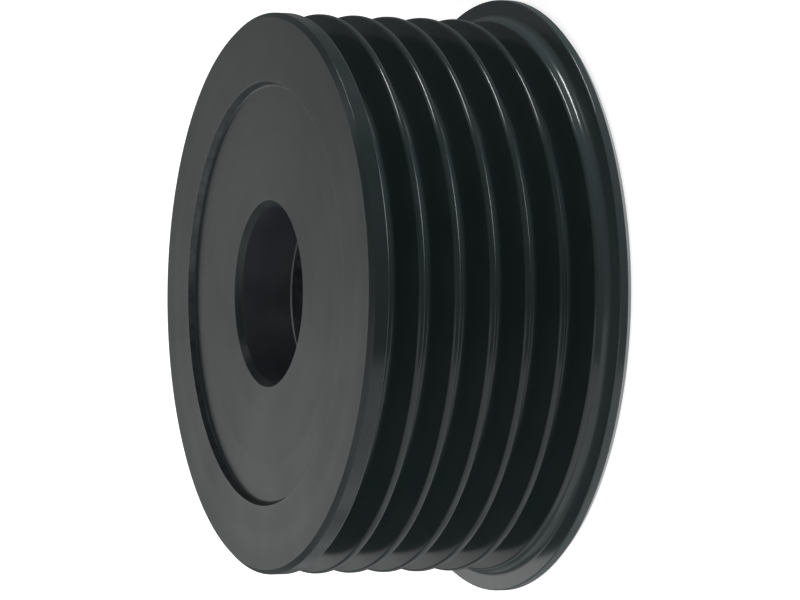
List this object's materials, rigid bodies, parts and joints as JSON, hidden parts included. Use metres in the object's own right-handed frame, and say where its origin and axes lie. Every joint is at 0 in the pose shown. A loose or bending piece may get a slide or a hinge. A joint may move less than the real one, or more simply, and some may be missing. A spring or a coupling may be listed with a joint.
{
  "type": "alternator pulley",
  "caption": "Turned steel pulley for a ribbed belt, with V grooves, a thin flange at one end, a shallow recess in its face, a chamfered shaft bore and a deep nut recess",
  "frame": {"origin": "on the pulley's axis, in the plane of the flange end that it stands on", "axes": "+Z along the shaft axis, from the flange end to the recessed face; X and Y are any two square directions"},
  "size_m": [0.0584, 0.0584, 0.0256],
  "materials": {
    "coated_steel": "satin black coating over fine turning marks"
  },
  "bodies": {
    "root": {"pulley": "coated_steel"}
  },
  "joints": []
}
